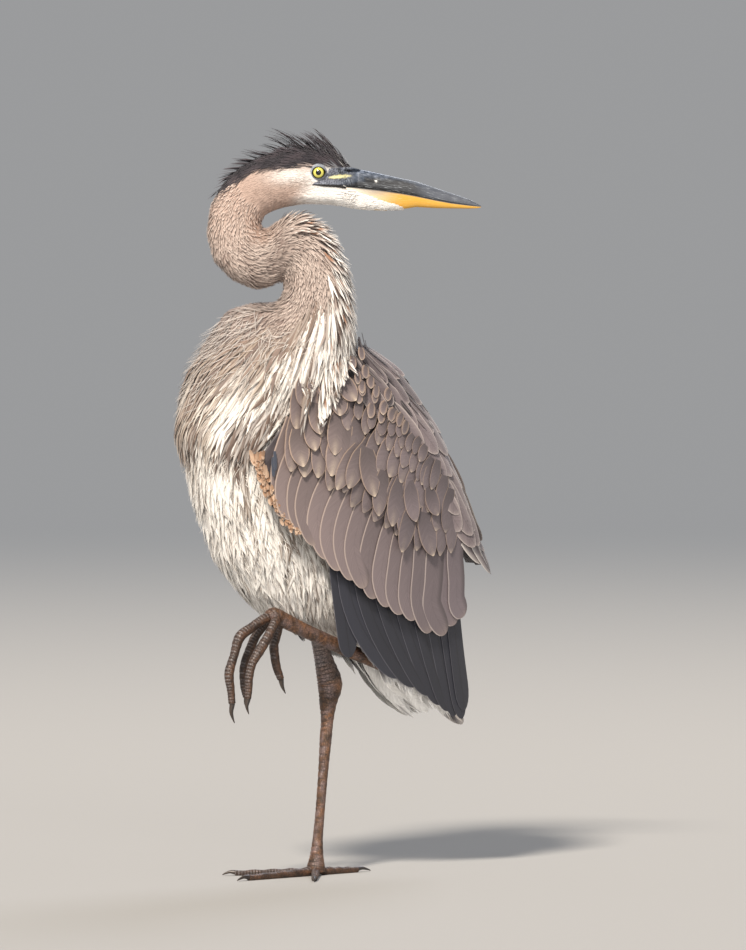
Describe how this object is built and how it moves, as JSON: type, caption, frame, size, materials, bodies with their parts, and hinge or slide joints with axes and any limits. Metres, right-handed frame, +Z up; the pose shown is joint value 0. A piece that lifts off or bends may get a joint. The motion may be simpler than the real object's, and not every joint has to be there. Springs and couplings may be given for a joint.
{
  "type": "great blue heron",
  "caption": "Life-size still model of a young great blue heron, standing on one foot with the other lifted and its head turned back.",
  "frame": {"origin": "middle of the standing (right) foot's sole, on the floor", "axes": "+Z up, -Y the way the breast faces, +X the bird's left"},
  "size_m": [0.2238, 0.3803, 0.777],
  "materials": {
    "body_feathers": "soft matt feathers, white with grey-brown streaks",
    "neck_feathers": "short matt buff-grey feathers",
    "cap_feathers": "fine slate-black feathers with loose locks",
    "covert_feathers": "matt grey feathers with pale and rusty edges",
    "secondary_feathers": "smooth warm grey vanes with pale edges",
    "primary_feathers": "smooth slate vanes",
    "tail_feathers": "smooth slate vanes",
    "upper_horn": "scuffed slate horn",
    "lower_horn": "satin yellow horn",
    "eye": "wet pale yellow iris with a black pupil",
    "leg_skin": "brown skin in small scales",
    "claw": "dark satin horn"
  },
  "bodies": {
    "root": {"bill_lower": "lower_horn", "bill_upper": "upper_horn", "breast_plumes": "body_feathers", "crest": "cap_feathers", "eye_left": "eye", "eye_right": "eye", "head": "neck_feathers", "left_claw_hind": "claw", "left_claw_inner": "claw", "left_claw_middle": "claw", "left_claw_outer": "claw", "left_tarsus": "leg_skin", "left_thigh": "body_feathers", "left_tibia": "leg_skin", "left_toe_hind": "leg_skin", "left_toe_inner": "leg_skin", "left_toe_middle": "leg_skin", "left_toe_outer": "leg_skin", "left_wing_coverts": "covert_feathers", "left_wing_primaries": "primary_feathers", "left_wing_scapulars": "covert_feathers", "left_wing_secondaries": "secondary_feathers", "left_wing_tertials": "covert_feathers", "neck_bend": "neck_feathers", "neck_kink": "neck_feathers", "neck_lower": "neck_feathers", "neck_top": "neck_feathers", "right_claw_hind": "claw", "right_claw_inner": "claw", "right_claw_middle": "claw", "right_claw_outer": "claw", "right_tarsus": "leg_skin", "right_thigh": "body_feathers", "right_tibia": "leg_skin", "right_toe_hind": "leg_skin", "right_toe_inner": "leg_skin", "right_toe_middle": "leg_skin", "right_toe_outer": "leg_skin", "right_wing_coverts": "covert_feathers", "right_wing_primaries": "primary_feathers", "right_wing_scapulars": "covert_feathers", "right_wing_secondaries": "secondary_feathers", "right_wing_tertials": "covert_feathers", "tail": "tail_feathers", "trunk": "body_feathers"}
  },
  "joints": []
}
